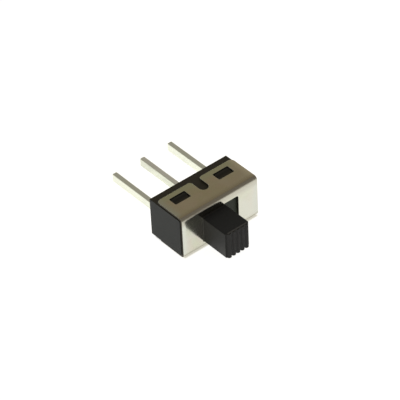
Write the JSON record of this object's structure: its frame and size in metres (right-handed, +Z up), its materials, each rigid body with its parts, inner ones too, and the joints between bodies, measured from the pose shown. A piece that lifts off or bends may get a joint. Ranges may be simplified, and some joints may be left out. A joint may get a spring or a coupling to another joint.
{
  "type": "slide switch",
  "caption": "Sub-miniature slide switch: ribbed knob in a folded steel cover over a moulded base, with straight pins for a circuit board.",
  "frame": {"origin": "on the outer face of the flange that the switch rests on, halfway along the body and halfway between the cover's front face and the seat face", "axes": "+X along the slide direction, -Y out of the front towards the knob, +Y out of the seat face along the pins, +Z up from the resting flange"},
  "size_m": [0.013, 0.0209, 0.0065],
  "materials": {
    "cover_steel": "bright plated sheet, smooth, with a soft warm reflection",
    "base_plastic": "glass-filled moulding, matte dark grey",
    "slider_plastic": "moulded acetal, black, satin",
    "terminal_plating": "tinned brass strip, satin",
    "contact_plating": "silver-plated bronze strip, smooth",
    "spring_steel": "drawn spring wire",
    "ball_steel": "polished steel"
  },
  "bodies": {
    "housing": {"cover": "cover_steel", "base": "base_plastic", "terminal_left": "terminal_plating", "terminal_common": "terminal_plating", "terminal_right": "terminal_plating"},
    "slider": {"slider": "slider_plastic", "contact": "contact_plating", "contact_spring": "spring_steel", "detent_ball_upper": "ball_steel", "detent_ball_lower": "ball_steel", "detent_spring_upper": "spring_steel", "detent_spring_lower": "spring_steel"}
  },
  "joints": [
    {"name": "slider_travel", "type": "slide", "parent": "housing", "child": "slider", "axis": [1, 0, 0], "range_m": [0, 0.00215]}
  ]
}
